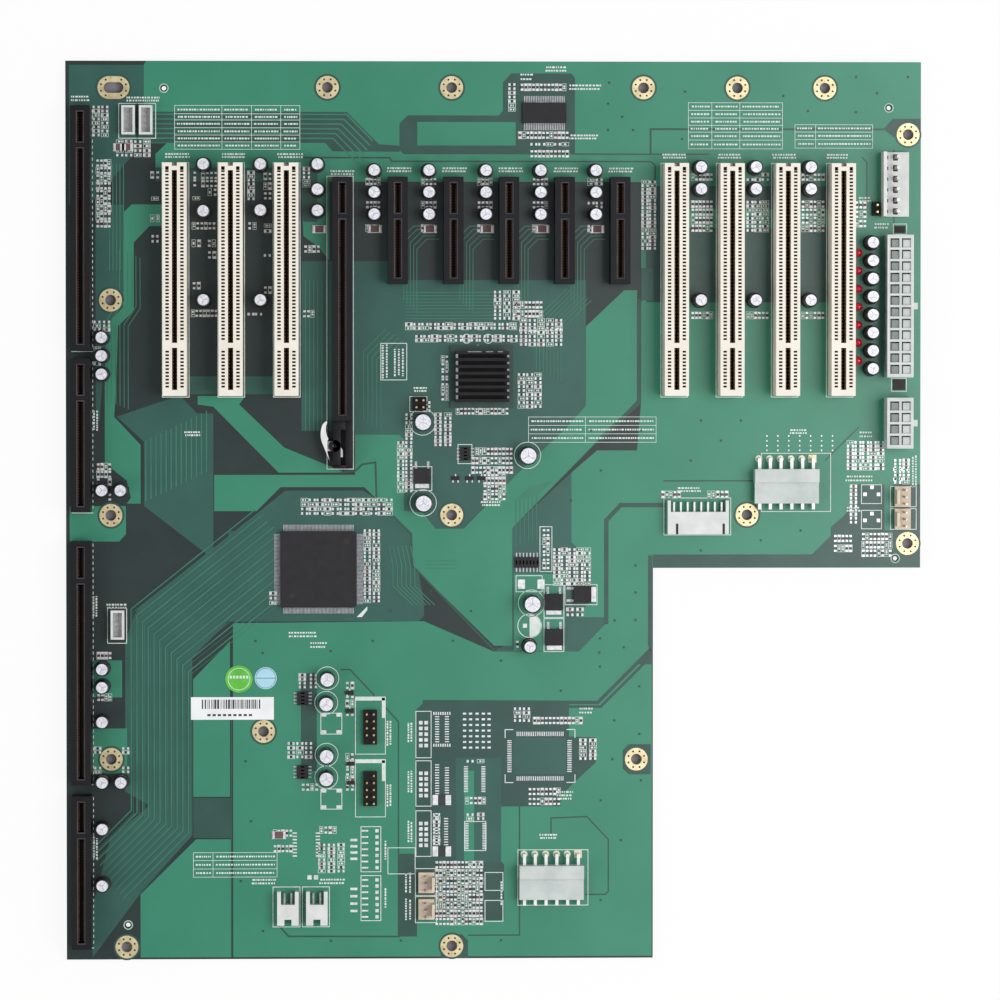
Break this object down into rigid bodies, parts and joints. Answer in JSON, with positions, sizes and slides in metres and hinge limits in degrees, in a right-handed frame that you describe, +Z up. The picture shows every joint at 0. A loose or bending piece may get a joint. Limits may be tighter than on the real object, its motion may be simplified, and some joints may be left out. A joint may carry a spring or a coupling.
{
  "type": "passive backplane",
  "caption": "L-shaped green backplane board with white and black card slots along its top and left edges, power headers at the right and a pivoting card latch.",
  "frame": {"origin": "centre of the board's outline in plan, at the level the slot pegs stand on", "axes": "+Z up out of the slot side, +Y towards the row of card slots, +X towards the power headers"},
  "size_m": [0.3138, 0.3294, 0.0186],
  "materials": {
    "board": "glass-reinforced epoxy laminate under a green solder mask",
    "ivory_plastic": "ivory moulded thermoplastic",
    "black_plastic": "black moulded thermoplastic",
    "natural_nylon": "natural white nylon",
    "latch_plastic": "white moulded acetal",
    "latch_pin_steel": "turned steel pin",
    "gold_plate": "gold-flashed brass",
    "tinned_brass": "tin-plated brass",
    "can": "drawn aluminium can in a black shrink sleeve",
    "lamp_red": "diffused red epoxy",
    "sink_black": "black anodised aluminium",
    "chip_epoxy": "moulded epoxy",
    "pad_grey": "thermal gap filler",
    "carrier": "chip carrier laminate",
    "fan_beige": "beige moulded nylon",
    "fuse_body": "polymer fuse with tinned ends",
    "label_white": "white polyester label",
    "label_green": "green polyester sticker",
    "label_blue": "pale blue polyester sticker"
  },
  "bodies": {
    "backplane": {"aux_power_housing": "natural_nylon", "aux_power_pins": "tinned_brass", "barcode_label": "label_white", "blue_sticker": "label_blue", "bridge_chip": "carrier", "circuit_board": "board", "disk_power_lower_housing": "natural_nylon", "disk_power_lower_pins": "tinned_brass", "disk_power_right_housing": "natural_nylon", "disk_power_right_pins": "tinned_brass", "fan_header_housings": "fan_beige", "fan_header_pins": "tinned_brass", "green_sticker": "label_green", "heat_sink": "sink_black", "host_slot_a": "black_plastic", "host_slot_b": "black_plastic", "host_slot_c": "black_plastic", "host_slot_d": "black_plastic", "jumper_bases": "black_plastic", "jumper_pins": "gold_plate", "large_capacitors": "can", "latch_pin": "latch_pin_steel", "main_power_housing": "natural_nylon", "main_power_pins": "tinned_brass", "medium_capacitors": "can", "pci_slot_1": "ivory_plastic", "pci_slot_2": "ivory_plastic", "pci_slot_3": "ivory_plastic", "pci_slot_4": "ivory_plastic", "pci_slot_5": "ivory_plastic", "pci_slot_6": "ivory_plastic", "pci_slot_7": "ivory_plastic", "pcie_x16_slot": "black_plastic", "pcie_x4_slot_1": "black_plastic", "pcie_x4_slot_2": "black_plastic", "pcie_x4_slot_3": "black_plastic", "pcie_x4_slot_4": "black_plastic", "pcie_x4_slot_5": "black_plastic", "port_header_bases": "black_plastic", "port_header_pins": "gold_plate", "power_transistors": "chip_epoxy", "processor_power_housing": "natural_nylon", "processor_power_pins": "tinned_brass", "quad_flat_chip": "chip_epoxy", "shrink_chip": "chip_epoxy", "signal_header_housing": "natural_nylon", "signal_header_pins": "tinned_brass", "small_capacitors": "can", "small_outline_chips": "chip_epoxy", "status_lamps": "lamp_red", "surface_fuses": "fuse_body", "switch_header_housings": "natural_nylon", "switch_header_pins": "tinned_brass", "thermal_pad": "pad_grey", "wafer_housings": "natural_nylon", "wafer_pins": "tinned_brass"},
    "latch": {"latch_lever": "latch_plastic"}
  },
  "joints": [
    {"name": "latch_release", "type": "hinge", "parent": "backplane", "child": "latch", "pos_m": [-0.05856, 0.0239, 0.0079], "axis": [0, 0, -1], "range_deg": [0, 12], "stiffness_Nm_per_rad": 0.01}
  ]
}
